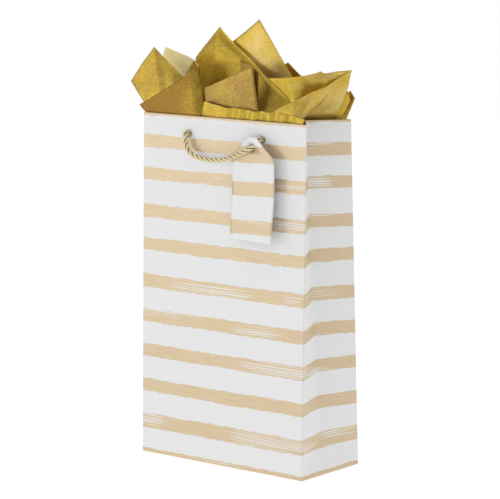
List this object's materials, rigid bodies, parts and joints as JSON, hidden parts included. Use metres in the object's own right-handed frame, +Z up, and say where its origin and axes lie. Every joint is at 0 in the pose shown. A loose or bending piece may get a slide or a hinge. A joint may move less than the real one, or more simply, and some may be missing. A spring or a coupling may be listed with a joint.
{
  "type": "gift bag",
  "caption": "Tall paper gift bag with brush-stroke stripes, two twisted cord handles, a hanging gift tag and gold tissue paper showing above the rim",
  "frame": {"origin": "centre of the underside of the base, on the surface that the bag stands on", "axes": "+Z up, -Y towards the front with the gift tag, +X to the right across the width seen from the front"},
  "size_m": [0.227, 0.0964, 0.419],
  "materials": {
    "printed_paper": "satin",
    "inner_paper": "matte",
    "card": "matte",
    "gold_cord": "satin",
    "tag_card": "satin",
    "gold_tissue": "satin"
  },
  "bodies": {
    "root": {"front_panel": "printed_paper", "back_panel": "printed_paper", "left_gusset_front": "printed_paper", "left_gusset_rear": "printed_paper", "left_gusset_base": "printed_paper", "right_gusset_front": "printed_paper", "right_gusset_rear": "printed_paper", "right_gusset_base": "printed_paper", "base_outer_flap": "printed_paper", "base_inner_flap": "printed_paper", "front_hem": "inner_paper", "back_hem": "inner_paper", "left_hem_front": "inner_paper", "left_hem_rear": "inner_paper", "right_hem_front": "inner_paper", "right_hem_rear": "inner_paper", "seam_flap": "inner_paper", "left_base_flap": "inner_paper", "right_base_flap": "inner_paper", "front_rim_card": "card", "back_rim_card": "card", "base_board": "card", "front_left_cord_tail": "gold_cord", "front_right_cord_tail": "gold_cord", "back_left_cord_tail": "gold_cord", "back_right_cord_tail": "gold_cord", "front_left_knot": "gold_cord", "front_right_knot": "gold_cord", "back_left_knot": "gold_cord", "back_right_knot": "gold_cord"},
    "front_handle": {"front_handle_loop": "gold_cord"},
    "back_handle": {"back_handle_loop": "gold_cord"},
    "gift_tag": {"gift_tag": "tag_card"},
    "tissue": {"tissue_left": "gold_tissue", "tissue_centre": "gold_tissue", "tissue_front": "gold_tissue", "tissue_right": "gold_tissue", "tissue_back": "gold_tissue"}
  },
  "joints": [
    {"name": "front_handle_swing", "type": "hinge", "parent": "root", "child": "front_handle", "pos_m": [0.003, -0.04446, 0.313], "axis": [-1, 0, 0], "range_deg": [0, 125]},
    {"name": "back_handle_swing", "type": "hinge", "parent": "root", "child": "back_handle", "pos_m": [0.003, 0.03545, 0.313], "axis": [1, 0, 0], "range_deg": [0, 140]},
    {"name": "tag_hang", "type": "hinge", "parent": "front_handle", "child": "gift_tag", "pos_m": [0.0415, -0.0471, 0.306], "axis": [-1, 0, 0], "range_deg": [-82, 0]},
    {"name": "tissue_lift", "type": "slide", "parent": "root", "child": "tissue", "axis": [0, 0, 1], "range_m": [0, 0.15]}
  ],
  "couplings": [
    {"joint": "tag_hang", "follows": "front_handle_swing", "ratio": -0.65}
  ]
}
